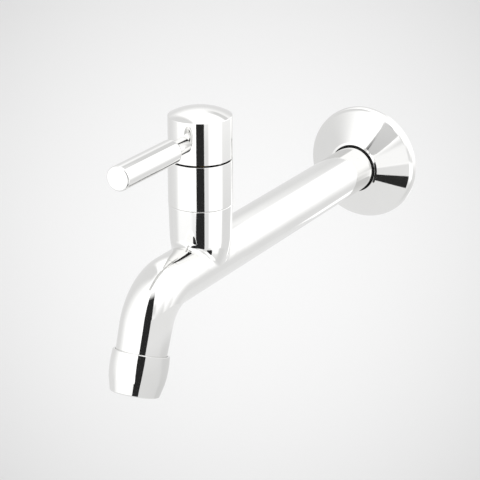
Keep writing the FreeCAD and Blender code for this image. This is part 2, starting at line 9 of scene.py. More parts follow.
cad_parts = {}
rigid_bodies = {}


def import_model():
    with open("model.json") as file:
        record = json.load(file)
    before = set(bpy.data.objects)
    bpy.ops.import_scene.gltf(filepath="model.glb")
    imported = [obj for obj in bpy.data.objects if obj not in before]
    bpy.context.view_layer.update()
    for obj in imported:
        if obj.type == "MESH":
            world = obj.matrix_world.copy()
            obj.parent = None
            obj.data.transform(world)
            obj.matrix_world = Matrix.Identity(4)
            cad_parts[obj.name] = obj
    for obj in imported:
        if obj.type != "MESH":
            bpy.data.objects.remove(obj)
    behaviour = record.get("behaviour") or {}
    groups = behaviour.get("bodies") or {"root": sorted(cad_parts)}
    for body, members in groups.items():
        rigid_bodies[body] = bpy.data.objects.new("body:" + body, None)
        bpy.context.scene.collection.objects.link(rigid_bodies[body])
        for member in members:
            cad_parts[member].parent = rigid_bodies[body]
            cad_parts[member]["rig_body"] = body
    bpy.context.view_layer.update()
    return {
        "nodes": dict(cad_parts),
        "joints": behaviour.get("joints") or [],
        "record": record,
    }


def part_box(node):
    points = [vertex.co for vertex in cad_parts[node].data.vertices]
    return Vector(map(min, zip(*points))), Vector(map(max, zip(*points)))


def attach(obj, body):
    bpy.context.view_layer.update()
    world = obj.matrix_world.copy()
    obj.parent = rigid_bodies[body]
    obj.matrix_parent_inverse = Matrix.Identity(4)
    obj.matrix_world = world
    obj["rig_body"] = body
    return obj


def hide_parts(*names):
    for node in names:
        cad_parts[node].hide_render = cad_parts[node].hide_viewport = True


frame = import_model()

# Shapes are worked out in millimetres, and a mesh is scaled to metres when its piece is made.
MM = 0.001


def span(node):
    """Lowest and highest corner of a solid, in millimetres."""
    low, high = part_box(node)
    return [round(v / MM, 2) for v in low], [round(v / MM, 2) for v in high]


# Places and sizes taken from the frame
VALVE_Y = frame["joints"][0]["pos_m"][1] / MM
LEVER_Z = frame["joints"][0]["pos_m"][2] / MM
INLET_R = frame["record"]["mounts"][0]["dims"]["r_mm"]
BOSS_R = span("tap_body")[1][0]
NIPPLE_L = span("tap_body")[1][1]
BOSS_TOP = span("tap_body")[1][2]
FLANGE_R = span("wall_flange")[1][0]
FLANGE_DEPTH = -span("wall_flange")[0][1]
GRIP_RING_R = span("flange_grip_ring")[1][0]
GRIP_RING_BACK = -span("flange_grip_ring")[1][1]
GRIP_RING_FRONT = -span("flange_grip_ring")[0][1]
SHROUD_R = span("valve_shroud")[1][0]
SHROUD_TOP = span("valve_shroud")[1][2]
HUB_R = span("handle_hub")[1][0]
LEVER_GRIP_R = span("lever_rod")[1][0]
LEVER_START = VALVE_Y - span("lever_rod")[1][1]
LEVER_END = VALVE_Y - span("lever_rod")[0][1]

# Tap body
TUBE_R = 13.0
TUBE_BORE_R = 9.8
OVERHANG = 46.8          # valve axis to where the spout's axis crosses the tube's
SPOUT_TILT = math.radians(19.9)
BEND_R = 24.0
SPOUT_DROP = 31.8
SPOUT_END_R = 12.7
SPOUT_END_RISE = 0.01        # how much wider it is one edge ring above its end
OUTLET_R = 11.0
OUTLET_L = 8.0
OUTLET_BORE_R = 8.6
OUTLET_CHAMFER = 0.4
BORE_TAPER = (4.4, 3.2)      # where the spout's bore narrows to the outlet's, above the spout's end
INLET_BORE_R = 7.0
INLET_CHAMFER = 1.0
BOSS_PROFILE = ((12.6, 0.0), (14.3, 5.5), (15.6, 14.0))   # foot, belly and waist: radius, height
BOSS_FILLET = 3.2
BOSS_EDGE = 0.4
BOSS_EDGE_R = 0.3
BOSS_LAND = 1.0              # flat of its mouth inside the edge
BORE_FLARE = (4.0, 10.0)     # where the nipple's bore widens to the tube's, in front of the wall
BACK_WALL = 14.48            # valve axis to the end of the inlet side's bore
FRONT_WALL = 10.8            # valve axis to the start of the outlet side's bore
BRIDGE_TOP = 2.5
BRIDGE_UNDERSIDE = -0.3
SEAT_HOLE_R = 6.0
SEAT_REACH = 8.0
WELL_OUTLINE = ((11.68, 17.0), (10.48, 18.2), (10.48, 30.24), (12.24, 30.24))   # chamber, thread, ring seat

# Threads: pitch and depth
PIPE_THREAD = (1.814, 1.1)
OUTLET_THREAD = (1.0, 0.6)
LEVER_THREAD = (1.0, 0.55)
THREAD_FLAT = 0.14           # share of the pitch that is flat at the crest, and at the root
THREAD_ROWS = 12             # rows of points along each pitch
THREAD_GAP = 0.2             # between the lever's threaded rows and its plain stretches

# Lever
LEVER_STUD_R = 2.95
LEVER_STUD_EDGE = 0.4
LEVER_STUD_LEAD = 0.6
LEVER_NECK_R = 4.2
LEVER_NECK_SEAT = 1.4
LEVER_NECK_EDGE = 0.15
LEVER_GRIP_START = 26.5
LEVER_SHOULDER_R = 1.6
LEVER_END_EDGE = 0.9

# Wall flange and the rubber ring that holds it
SNUG = 0.03                  # gap between pieces that are pushed together
FLANGE_RIM = 0.4
FLANGE_EDGE_R = 4.8
FLANGE_NOSE = 0.35
FLANGE_SHELL = 1.2
FLANGE_LIP = 2.4
FLANGE_CORNER = 0.3
FLANGE_GUARD_R = 13.9        # thin edge in front of the rubber ring
FLANGE_GUARD = 0.4
FLANGE_GUARD_RISE = 0.45
GRIP_RING_EDGE = 0.7

# Valve shroud
SHROUD_WALL = 1.8
SHROUD_ROOF = 2.2
SHROUD_FOOT_EDGE = 0.12
SHROUD_CORNER = 0.5
SHROUD_HOLE_R = 8.93
SHROUD_SEAMS = (0.15, 0.35)  # shadow gaps that show below and above it

# Aerator collar, from the end that laps the spout
COLLAR_LAP = 2.0
COLLAR_H = 20.7
COLLAR_TOP_R = 14.2
COLLAR_BELLY = (14.45, 8.0)
COLLAR_WAIST = (13.9, 14.0)
COLLAR_MOUTH_R = 12.4
COLLAR_EDGE = 0.5
COLLAR_RIM = 0.3
COLLAR_RECESS_R = 12.95
COLLAR_RECESS = 2.25
COLLAR_THREAD_R = 11.03
COLLAR_LEDGE = 13.5
COLLAR_BORE_R = 9.95
COLLAR_LIP_R = 9.45
COLLAR_LIP = 1.1
COLLAR_LIP_EDGE = 0.25

# Aerator screens
SCREEN_RIM_WIRE_R = 0.2
SCREEN_WIRE_R = 0.08
SCREEN_WEAVE = 0.085         # height of the weave on each side
SCREEN_PITCH = 0.6
SCREEN_WIRES = 27            # an odd number keeps the weave the same both ways
SCREEN_STEPS = 4             # along a wire, for each wire that it crosses

# Small roundings: a broken edge and a plain one
BROKEN = 0.1
PLAIN = 0.2

# How finely round shapes are divided
SIDES = 96
SLEEVE_SIDES = 128
FLANGE_SIDES = 160
BORE_SIDES = 48
O_RING_SIDES = 24
WIRE_SIDES = 6
RIM_WIRE_SIDES = 10
ARC_STEP = math.radians(9)
BEND_STEP = math.radians(2)
BORE_BEND_STEP = math.radians(5)
EDGE_RING = 0.12             # a ring this near to each edge keeps the surface beside it evenly shaded
SLIVER = 0.02                # keeps faces of the waterway's spaces from lying in each other
MERGED = 0.002               # points this near to each other become one
TINY = 1e-6

# Directions and places that follow from the sizes
UP = Vector((0, 0, 1))
OUT = Vector((0, -1, 0))
VALVE = Vector((0, VALVE_Y, 0))
CROSSING = VALVE + OUT * OVERHANG
SPOUT_DIR = Vector((0, -math.sin(SPOUT_TILT), -math.cos(SPOUT_TILT)))
BEND_ANGLE = math.pi / 2 - SPOUT_TILT
BEND_TANGENT = BEND_R * math.tan(BEND_ANGLE / 2)
BEND_Y = CROSSING.y + BEND_TANGENT
COLLAR_START = CROSSING + SPOUT_DIR * (SPOUT_DROP - COLLAR_LAP)


# Round sections

def spread(low, high, count):
    """Evenly spaced values, both ends included."""
    return [low + (high - low) * k / count for k in range(count + 1)]


def circle_through(a, b, c):
    """Centre and radius of the circle through three points."""
    (ax, ay), (bx, by), (cx, cy) = a, b, c
    d = 2 * (ax * (by - cy) + bx * (cy - ay) + cx * (ay - by))
    aa, bb, cc = ax * ax + ay * ay, bx * bx + by * by, cx * cx + cy * cy
    x = (aa * (by - cy) + bb * (cy - ay) + cc * (ay - by)) / d
    y = (aa * (cx - bx) + bb * (ax - cx) + cc * (bx - ax)) / d
    return Vector((x, y)), math.hypot(ax - x, ay - y)


def arc_between(centre, start, end):
    """Points on the shorter arc from one offset to another about a centre."""
    turn = start.angle(end)
    steps = max(2, math.ceil(turn / ARC_STEP))
    points = []
    for k in range(steps + 1):
        share = k / steps
        near, far = math.sin((1 - share) * turn), math.sin(share * turn)
        points.append(centre + (start * near + end * far) / math.sin(turn))
    return points


def corner_arc(before, corner, after, radius):
    """Points that round a corner of a section."""
    corner = Vector(corner)
    back = (Vector(before) - corner).normalized()
    ahead = (Vector(after) - corner).normalized()
    half = (math.pi - back.angle(ahead)) / 2
    centre = corner + (back + ahead).normalized() * radius / math.cos(half)
    reach = radius * math.tan(half)
    return arc_between(centre, corner + back * reach - centre, corner + ahead * reach - centre)


def section(*items, closed=False):
    """Outline of (radius, height) points. An item is a corner, with its rounding radius as a third
    number if it has one, or the middle and end of an arc. Straight runs get a ring near each end."""
    ends = [item[1] if isinstance(item[0], tuple) else item[:2] for item in items]
    starts = [item[0] if isinstance(item[0], tuple) else item[:2] for item in items]
    groups = []
    for i, item in enumerate(items):
        if isinstance(item[0], tuple):
            centre, _ = circle_through(groups[-1][-1], *item)
            first = groups[-1][-1]
            curve = arc_between(centre, first - centre, Vector(item[0]) - centre)[1:]
            curve += arc_between(centre, Vector(item[0]) - centre, Vector(item[1]) - centre)[1:]
            groups[-1] += curve
        elif len(item) == 3:
            groups.append(corner_arc(ends[i - 1], item[:2], starts[(i + 1) % len(items)], item[2]))
        else:
            groups.append([Vector(item)])
    points = []
    for i, group in enumerate(groups):
        points += group
        if i + 1 < len(groups) or closed:
            gap = groups[(i + 1) % len(groups)][0] - group[-1]
            if gap.length > 4 * EDGE_RING:
                step = gap.normalized() * EDGE_RING
                points += [group[-1] + step, group[-1] + gap - step]
    return points


class Shell:
    """Points and faces of a surface, in millimetres."""

    def __init__(self):
        self.points = []
        self.faces = []

    def row(self, points):
        """Adds points and gives back their numbers."""
        start = len(self.points)
        self.points += [Vector(p) for p in points]
        return list(range(start, len(self.points)))

    def skin(self, a, b, closed=True):
        """Faces between two rows; a row of one point makes a fan."""
        count = max(len(a), len(b))
        for i in range(count if closed else count - 1):
            j = (i + 1) % count
            corners = [a[i % len(a)], a[j % len(a)], b[j % len(b)], b[i % len(b)]]
            self.faces.append(list(dict.fromkeys(corners)))

    def skin_all(self, rows, closed=True):
        for a, b in zip(rows, rows[1:]):
            self.skin(a, b, closed)

    def cap(self, ring):
        self.faces.append(ring)

    def add(self, other, matrix=Matrix()):
        """Takes in another shell, moved by a matrix."""
        start = len(self.points)
        self.points += [matrix @ p for p in other.points]
        self.faces += [[start + i for i in face] for face in other.faces]
        return self

    def mesh(self, name, scale=MM):
        """Mesh with its doubles merged and its faces pointing outwards."""
        mesh = bpy.data.meshes.new(name)
        mesh.from_pydata([p * scale for p in self.points], [], self.faces)
        work = bmesh.new()
        work.from_mesh(mesh)
        bmesh.ops.remove_doubles(work, verts=work.verts, dist=MERGED * scale)
        bmesh.ops.recalc_face_normals(work, faces=work.faces)
        work.to_mesh(mesh)
        work.free()
        mesh.shade_smooth()
        return mesh


def turned(points, closed=False, sides=SIDES):
    """Surface of an outline turned about local Z."""
    shell = Shell()
    rows = []
    for radius, height in points:
        if radius < TINY:
            rows.append(shell.row([(0, 0, height)]))
        else:
            angles = [2 * math.pi * k / sides for k in range(sides)]
            rows.append(shell.row([(radius * math.cos(a), radius * math.sin(a), height) for a in angles]))
    shell.skin_all(rows + rows[:1] if closed else rows)
    return shell


def place(origin, direction):
    """Matrix that turns local Z to a direction and moves the local origin to its place."""
    turn = direction.to_track_quat("Z", "Y").to_matrix().to_4x4()
    return Matrix.Translation(origin) @ turn


# Node trees: materials, screw threads and screens share one way of writing maths

def plug(socket, value):
    """Links a Wire to an input, or sets the input to a value."""
    if isinstance(value, Wire):
        socket.id_data.links.new(value.socket, socket)
    else:
        socket.default_value = value


def add_node(tree, kind, settings=None, sockets=None, output=0):
    """Adds a node, sets it up, then fills or links its inputs, and gives back one output as a Wire."""
    node = tree.nodes.new(kind)
    for name, value in (settings or {}).items():
        setattr(node, name, value)
    for name, value in (sockets or {}).items():
        plug(node.inputs[name], value)
    return Wire(tree, node.outputs[output])


class Wire:
    """An output socket on which Python's operators add Math nodes."""

    def __init__(self, tree, socket):
        self.tree = tree
        self.socket = socket

    def maths(self, operation, *values, clamp=False):
        settings = {"operation": operation, "use_clamp": clamp}
        return add_node(self.tree, "ShaderNodeMath", settings, dict(enumerate(values)))

    def __add__(self, other):
        return self.maths("ADD", self, other)

    __radd__ = __add__

    def __sub__(self, other):
        return self.maths("SUBTRACT", self, other)

    def __rsub__(self, other):
        return self.maths("SUBTRACT", other, self)

    def __mul__(self, other):
        return self.maths("MULTIPLY", self, other)

    __rmul__ = __mul__

    def __truediv__(self, other):
        return self.maths("DIVIDE", self, other)

    def __rtruediv__(self, other):
        return self.maths("DIVIDE", other, self)

    def __gt__(self, other):
        return self.maths("GREATER_THAN", self, other)

    def __abs__(self):
        return self.maths("ABSOLUTE", self)

    def clamped(self):
        return self.maths("ADD", self, 0, clamp=True)


def parts_of(tree, vector):
    """X, Y and Z of a vector."""
    split = tree.nodes.new("ShaderNodeSeparateXYZ")
    plug(split.inputs[0], vector)
    return [Wire(tree, s) for s in split.outputs]


def shape_tree(name, start, sizes, counts=()):
    """Geometry Nodes tree with named inputs: a shape to start from, sizes, counts and a finish."""
    tree = bpy.data.node_groups.new(name, "GeometryNodeTree")
    kinds = [(start, "Geometry")] + [(size, "Float") for size in sizes]
    kinds += [(count, "Int") for count in counts] + [("Finish", "Material")]
    for socket, kind in kinds:
        tree.interface.new_socket(socket, in_out="INPUT", socket_type="NodeSocket" + kind)
    tree.interface.new_socket("Result", in_out="OUTPUT", socket_type="NodeSocketGeometry")
    given = {s.name: Wire(tree, s) for s in tree.nodes.new("NodeGroupInput").outputs if s.name}
    return tree, given


def end_tree(tree, shape, material):
    """Ends a tree in real geometry with its finish, and gives the tree back."""
    real = add_node(tree, "GeometryNodeRealizeInstances", sockets={"Geometry": shape})
    finished = add_node(tree, "GeometryNodeSetMaterial", sockets={"Geometry": real, "Material": material})
    plug(tree.nodes.new("NodeGroupOutput").inputs[0], finished)
    return tree


def thread_tree():
    """Presses a right-handed screw thread into a barrel about local Z."""
    tree, given = shape_tree("screw_thread", "Barrel", ("Crest radius", "Pitch", "Depth", "Start", "End"))
    x, y, z = parts_of(tree, add_node(tree, "GeometryNodeInputPosition"))
    square = x * x + y * y
    radius = square.maths("SQRT", square)
    turn = x.maths("ARCTAN2", y, x) / (2 * math.pi)
    phase = z / given["Pitch"] - turn
    ridge = 1 - abs(phase.maths("FRACT", phase) * 2 - 1)
    flank = ((ridge - THREAD_FLAT) / (1 - 2 * THREAD_FLAT)).clamped()
    run_in = ((z - given["Start"]) / given["Pitch"]).clamped()
    run_out = ((given["End"] - z) / given["Pitch"]).clamped()
    on_barrel = radius > given["Crest radius"] - EDGE_RING
    cut = flank * given["Depth"] * run_in * run_out * on_barrel
    shrink = (radius - cut) / radius
    moved = add_node(tree, "ShaderNodeCombineXYZ", sockets={"X": x * shrink, "Y": y * shrink, "Z": z})
    sockets = {"Geometry": given["Barrel"], "Position": moved}
    return end_tree(tree, add_node(tree, "GeometryNodeSetPosition", sockets=sockets), given["Finish"])


def screen_tree():
    """Weaves two layers of wires over and under each other inside a rim."""
    sizes = ("Radius", "Rim wire", "Wire", "Weave", "Pitch")
    tree, given = shape_tree("woven_screen", "Surface", sizes, ("Wires",))
    radius, pitch = given["Radius"], given["Pitch"]

    def node(kind, **values):
        sockets = {name.replace("_", " "): value for name, value in values.items()}
        return add_node(tree, kind, sockets=sockets)

    def vector(**sockets):
        return node("ShaderNodeCombineXYZ", **sockets)

    def wire(curve, wire_radius, sides):
        profile = node("GeometryNodeCurvePrimitiveCircle", Resolution=sides, Radius=wire_radius)
        return node("GeometryNodeCurveToMesh", Curve=curve, Profile_Curve=profile, Fill_Caps=True)

    line = node("GeometryNodeCurvePrimitiveLine", Start=vector(X=0 - radius), End=vector(X=radius))
    line = node("GeometryNodeResampleCurve", Curve=line, Count=given["Wires"] * SCREEN_STEPS + 1)
    places = node("GeometryNodeMeshLine", Count=given["Wires"], Offset=vector(Y=pitch),
                  Start_Location=vector(Y=(1 - given["Wires"]) * pitch / 2))
    layer = node("GeometryNodeInstanceOnPoints", Points=places, Instance=line)
    layer = node("GeometryNodeRealizeInstances", Geometry=layer)
    x, y, _ = parts_of(tree, add_node(tree, "GeometryNodeInputPosition"))
    wave = (x + y) * math.pi / pitch
    outside = x * x + y * y > radius * radius
    joined = tree.nodes.new("GeometryNodeJoinGeometry")
    for turn, side in ((0, 1), (math.pi / 2, -1)):
        laid = node("GeometryNodeTransform", Geometry=layer, Rotation=(0, 0, turn))
        height = wave.maths("COSINE", wave) * given["Weave"] * side
        woven = node("GeometryNodeSetPosition", Geometry=laid, Offset=vector(Z=height))
        kept = node("GeometryNodeDeleteGeometry", Geometry=woven, Selection=outside)
        plug(joined.inputs[0], wire(kept, given["Wire"], WIRE_SIDES))
    rim = node("GeometryNodeCurvePrimitiveCircle", Resolution=SIDES, Radius=radius)
    plug(joined.inputs[0], wire(rim, given["Rim wire"], RIM_WIRE_SIDES))
    return end_tree(tree, Wire(tree, joined.outputs[0]), given["Finish"])


def evaluated(mesh, kind, settings, values=None):
    """A mesh with one modifier applied."""
    work = bpy.data.objects.new("work", mesh)
    bpy.context.collection.objects.link(work)
    modifier = work.modifiers.new("work", kind)
    for name, value in settings.items():
        setattr(modifier, name, value)
    if kind == "NODES":
        for item in modifier.node_group.interface.items_tree:
            if item.in_out == "INPUT" and item.name in values:
                modifier[item.identifier] = values[item.name]
    graph = bpy.context.evaluated_depsgraph_get()
    result = bpy.data.meshes.new_from_object(work.evaluated_get(graph))
    bpy.data.objects.remove(work)
    return result


def grown(shell, tree, values):
    """A shell after a Geometry Nodes tree, as a shell again."""
    mesh = evaluated(shell.mesh("work", 1), "NODES", {"node_group": tree}, values)
    result = Shell()
    result.points = [v.co.copy() for v in mesh.vertices]
    result.faces = [list(p.vertices) for p in mesh.polygons]
    return result


def thread_rows(radius, low, high, pitch):
    """Points close enough together along a barrel to carry a thread."""
    count = math.ceil((high - low) / pitch * THREAD_ROWS)
    return [Vector((radius, height)) for height in spread(low, high, count)]


def threaded(shell, radius, thread, start, end):
    """A shell with a thread pressed into its barrel between two heights."""
    pitch, depth = thread
    values = {"Crest radius": radius, "Pitch": pitch, "Depth": depth, "Start": start, "End": end}
    return grown(shell, THREAD_TREE, {**values, "Finish": FINISHES["chromed_brass"]})


def threaded_barrel(radius, length, chamfer, thread):
    """Barrel about local Z from height 0, with a thread, a chamfered end and a closed tip."""
    outline = thread_rows(radius, 0, length - chamfer, thread[0]) + [Vector((radius - chamfer, length))]
    shell = turned(outline)
    shell.cap(list(range(len(shell.points) - SIDES, len(shell.points))))
    return threaded(shell, radius, thread, thread[0], length)


THREAD_TREE = thread_tree()
SCREEN_TREE = screen_tree()


# Making the tap body. The boss rises from a window in the top of the tube: rows of points lead from the
# window's edge to an oval on the tube, on to the boss's foot and up its side.

WINDOW_SPAN = 32             # sides from the tube's top to the window's edge
WINDOW_ROWS = 40
WINDOW_HALF = 24.0           # along the tube
OVAL_HALF = 21.2             # along the tube
OVAL_SPAN = math.radians(100)
OVAL_ROWS = 5
FOOT_ROWS = 9
NECK_ROWS = 26
BLEND_TOP = 20.0             # height at which the boss is clear of its fillet
BLUNTEST = 0.99              # cosine past which tube and boss count as facing the same way
SETTLE_ROUNDS = 12
SETTLE_STEP = 0.001          # over which the surface's direction is measured
HALVINGS = 40


def tube_point(angle, y, radius=TUBE_R):
    return (radius * math.sin(angle), y, radius * math.cos(angle))


def boss_side(height):
    """The boss's radius and slope at each height."""
    foot, belly, waist = BOSS_PROFILE
    centre, curve_r = circle_through(foot, belly, waist)
    low = np.maximum(height, foot[1])
    rise = np.minimum(low, waist[1]) - centre.y
    run = np.sqrt(curve_r ** 2 - rise ** 2)
    radius = centre.x + run
    slope = -rise / run
    taper = (BOSS_R - waist[0]) / (BOSS_TOP - BOSS_EDGE - waist[1])
    above = height > waist[1]
    radius = np.where(above, waist[0] + taper * (height - waist[1]), radius)
    slope = np.where(above, taper, slope)
    radius = np.where(height < foot[1], foot[0] + slope * (height - foot[1]), radius)
    return radius, slope


def body_distance(p):
    """How far points lie outside the tube and boss, joined by a fillet."""
    x, y, z = p[:, 0], p[:, 1] - VALVE_Y, p[:, 2]
    from_tube = np.hypot(x, z)
    from_axis = np.hypot(x, y)
    side, slope = boss_side(z)
    steep = np.sqrt(1 + slope ** 2)
    tube_gap = from_tube - TUBE_R
    boss_gap = (from_axis - side) / steep
    facing = (x * x / from_axis - slope * z) / (from_tube * steep)
    facing = np.clip(facing, -BLUNTEST, BLUNTEST)
    u, v = BOSS_FILLET - tube_gap, BOSS_FILLET - boss_gap
    in_fillet = (u > facing * v) & (v > facing * u)
    reach = np.sqrt(np.maximum(u * u + v * v - 2 * facing * u * v, 0) / (1 - facing ** 2))
    return np.where(in_fillet, BOSS_FILLET - reach, np.minimum(tube_gap, boss_gap))


def settled(points):
    """Points moved square to the surface until they lie on it."""
    p = np.array(points, float)
    for _ in range(SETTLE_ROUNDS):
        here = body_distance(p)
        steps = SETTLE_STEP * np.eye(3)
        slope = np.stack([body_distance(p + step) - body_distance(p - step) for step in steps], 1)
        slope /= 2 * SETTLE_STEP
        p -= slope * (here / np.maximum((slope ** 2).sum(1), TINY))[:, None]
    return [Vector(q) for q in p]


def crease_point(turn):
    """Where the bare boss and tube meet, in the direction turn about the boss."""
    low, high = 0.0, TUBE_R
    for _ in range(HALVINGS):
        height = (low + high) / 2
        side = float(boss_side(np.array(height))[0])
        if (side * math.sin(turn)) ** 2 + height ** 2 > TUBE_R ** 2:
            high = height
        else:
            low = height
    side = float(boss_side(np.array(low))[0])
    return Vector((side * math.sin(turn), VALVE_Y - side * math.cos(turn), low))


def along(a, b, rows):
    """Rows of points that lead from one row to another, the first one left out."""
    return [[p.lerp(q, k / rows) for p, q in zip(a, b)] for k in range(1, rows + 1)]


def boss_ring(turns, radius, height):
    """Points round the boss, one in each direction."""
    return [Vector((radius * math.sin(t), VALVE_Y - radius * math.cos(t), height)) for t in turns]


def window_edge(levels):
    """The window's edge as (angle round the tube, distance along it from the valve's axis)."""
    back_y, *inner, front_y = levels
    edge = [(k, front_y) for k in range(-WINDOW_SPAN, WINDOW_SPAN + 1)]
    edge += [(WINDOW_SPAN, y) for y in reversed(inner)]
    edge += [(k, back_y) for k in range(WINDOW_SPAN, -WINDOW_SPAN - 1, -1)]
    edge += [(-WINDOW_SPAN, y) for y in inner]
    return [Vector((k * 2 * math.pi / SIDES, y - VALVE_Y)) for k, y in edge]


def boss_loops(window):
    """Closed rows of points from the window's edge up to the boss's mouth."""
    oval = [p / math.hypot(p.x / OVAL_SPAN, p.y / OVAL_HALF) for p in window]
    rows = [window] + along(window, oval, OVAL_ROWS)
    loops = [[Vector(tube_point(p.x, VALVE_Y + p.y)) for p in row] for row in rows]

    turns = [math.atan2(p.x * TUBE_R, -p.y) for p in window]
    creases = [crease_point(t) for t in turns]
    shoulder_r = float(boss_side(np.array(BLEND_TOP))[0])
    shoulder = boss_ring(turns, shoulder_r, BLEND_TOP)
    foot = along(loops[-1], creases, FOOT_ROWS) + along(creases, shoulder, NECK_ROWS)
    flat = settled([p for row in foot for p in row])
    count = len(window)
    loops += [flat[i * count:(i + 1) * count] for i in range(len(foot))]

    mouth_r = BOSS_R - BOSS_EDGE
    top = section((shoulder_r, BLEND_TOP), (BOSS_R, BOSS_TOP - BOSS_EDGE, BOSS_EDGE_R),
                  (mouth_r, BOSS_TOP, BOSS_EDGE_R), (mouth_r - BOSS_LAND, BOSS_TOP))
    return loops + [boss_ring(turns, radius, height) for radius, height in top[1:]]


def bend_rings(shell, ring, radius, step, ends):
    """Rings through the bend, and then down the spout at (radius, distance from the crossing)."""
    pivot = Vector((0, BEND_Y, -BEND_R))
    steps = math.ceil(BEND_ANGLE / step)
    rings = []
    for k in range(steps + 1):
        turn = Matrix.Rotation(BEND_ANGLE * k / steps, 3, "X")
        points = [Vector(tube_point(a, BEND_Y, radius)) for a in ring]
        rings.append(shell.row([pivot + turn @ (point - pivot) for point in points]))
    for end_r, reach in ends:
        middle = CROSSING + SPOUT_DIR * reach
        rings.append(shell.row([middle + turn @ Vector(tube_point(a, 0, end_r)) for a in ring]))
    return rings


def body_outside():
    """Tube, boss, bend and spout as one surface, open at the nipple and at the outlet thread."""
    shell = Shell()
    ring = spread(0, 2 * math.pi, SIDES)[:-1]
    back_y, front_y = VALVE_Y + WINDOW_HALF, VALVE_Y - WINDOW_HALF
    wall = ((INLET_R, 0), (TUBE_R - EDGE_RING, 0), (TUBE_R, -EDGE_RING), (TUBE_R, -2 * EDGE_RING))
    shell.skin_all([shell.row([tube_point(a, y, r) for a in ring]) for r, y in (*wall, (TUBE_R, back_y))])

    under = ring[WINDOW_SPAN:SIDES - WINDOW_SPAN + 1]
    levels = spread(back_y, front_y, WINDOW_ROWS)
    shell.skin_all([shell.row([tube_point(a, y) for a in under]) for y in levels], closed=False)
    loops = [shell.row(loop) for loop in boss_loops(window_edge(levels))]
    shell.skin_all(loops)
    shell.cap(loops[-1])

    front = shell.row([tube_point(a, front_y) for a in ring])
    ends = ((SPOUT_END_R + SPOUT_END_RISE, SPOUT_DROP - EDGE_RING), (SPOUT_END_R, SPOUT_DROP),
            (SPOUT_END_R - EDGE_RING, SPOUT_DROP), (OUTLET_R, SPOUT_DROP))
    shell.skin_all([front] + bend_rings(shell, ring, TUBE_R, BEND_STEP, ends))
    return shell


def segment_bar(radius, floor, ceiling, near, far):
    """The part of a round bar along -Y that lies between two heights."""
    profile = []
    for k in range(BORE_SIDES):
        angle = 2 * math.pi * k / BORE_SIDES
        height = min(max(radius * math.cos(angle), floor), ceiling)
        profile.append((math.copysign(math.sqrt(radius ** 2 - height ** 2), math.sin(angle)), height))
    shell = Shell()
    rows = [shell.row([(x, VALVE_Y - reach, z) for x, z in profile]) for reach in (near, far)]
    shell.skin(*rows)
    for row in rows:
        shell.cap(row)
    return shell


def waterway():
    """The space inside the body: inlet bore, the way up through the seat, the well and the way out."""
    beyond = 1.0
    space = Shell()
    inlet = [(0, -NIPPLE_L - beyond), (INLET_BORE_R, -NIPPLE_L - beyond), (INLET_BORE_R, BORE_FLARE[0]),
             (TUBE_BORE_R, BORE_FLARE[1]), (TUBE_BORE_R, -VALVE_Y - BACK_WALL), (0, -VALVE_Y - BACK_WALL)]
    space.add(turned(inlet, sides=BORE_SIDES), place(Vector(), OUT))
    bar_r = TUBE_BORE_R - SLIVER
    space.add(segment_bar(bar_r, -TUBE_R, BRIDGE_UNDERSIDE, -BACK_WALL - beyond, SEAT_REACH))
    seat = [(0, BRIDGE_UNDERSIDE - beyond), (SEAT_HOLE_R, BRIDGE_UNDERSIDE - beyond),
            (SEAT_HOLE_R, BRIDGE_TOP + beyond), (0, BRIDGE_TOP + beyond)]
    space.add(turned(seat, sides=BORE_SIDES), place(VALVE, UP))
    chamber_r = WELL_OUTLINE[0][0]
    well = [(0, BRIDGE_TOP), (chamber_r, BRIDGE_TOP), *WELL_OUTLINE]
    well += [(WELL_OUTLINE[-1][0], BOSS_TOP + beyond), (0, BOSS_TOP + beyond)]
    space.add(turned(well), place(VALVE, UP))
    space.add(segment_bar(bar_r, BRIDGE_TOP + SLIVER, TUBE_R, 0, VALVE_Y - BEND_Y))

    way_out = Shell()
    ring = spread(0, 2 * math.pi, BORE_SIDES)[:-1]
    ends = ((TUBE_BORE_R, SPOUT_DROP - BORE_TAPER[0]), (OUTLET_BORE_R, SPOUT_DROP - BORE_TAPER[1]),
            (OUTLET_BORE_R, SPOUT_DROP + OUTLET_L + beyond))
    rows = [way_out.row([tube_point(a, VALVE_Y - FRONT_WALL, TUBE_BORE_R) for a in ring])]
    rows += bend_rings(way_out, ring, TUBE_BORE_R, BORE_BEND_STEP, ends)
    way_out.skin_all(rows)
    way_out.cap(rows[0])
    way_out.cap(rows[-1])
    return space.add(way_out)


def tap_body():
    """One casting: its outside and both threads, less the waterway."""
    shell = body_outside()
    nipple = threaded_barrel(INLET_R, NIPPLE_L, INLET_CHAMFER, PIPE_THREAD)
    outlet = threaded_barrel(OUTLET_R, OUTLET_L, OUTLET_CHAMFER, OUTLET_THREAD)
    # Brings the barrels' points onto the tube's
    quarter = Matrix.Rotation(math.pi / 2, 4, "Z")
    shell.add(nipple, place(Vector(), -OUT) @ quarter)
    shell.add(outlet, place(CROSSING + SPOUT_DIR * SPOUT_DROP, SPOUT_DIR) @ quarter)
    solid = shell.mesh("tap_body_outside")
    cutter = bpy.data.objects.new("waterway", waterway().mesh("waterway"))
    bpy.context.collection.objects.link(cutter)
    settings = {"operation": "DIFFERENCE", "solver": "EXACT", "use_self": True, "object": cutter}
    mesh = evaluated(solid, "BOOLEAN", settings)
    bpy.data.objects.remove(cutter)
    return mesh


# Pieces turned about an axis, and the woven screens. Each one comes with the matrix that places it.

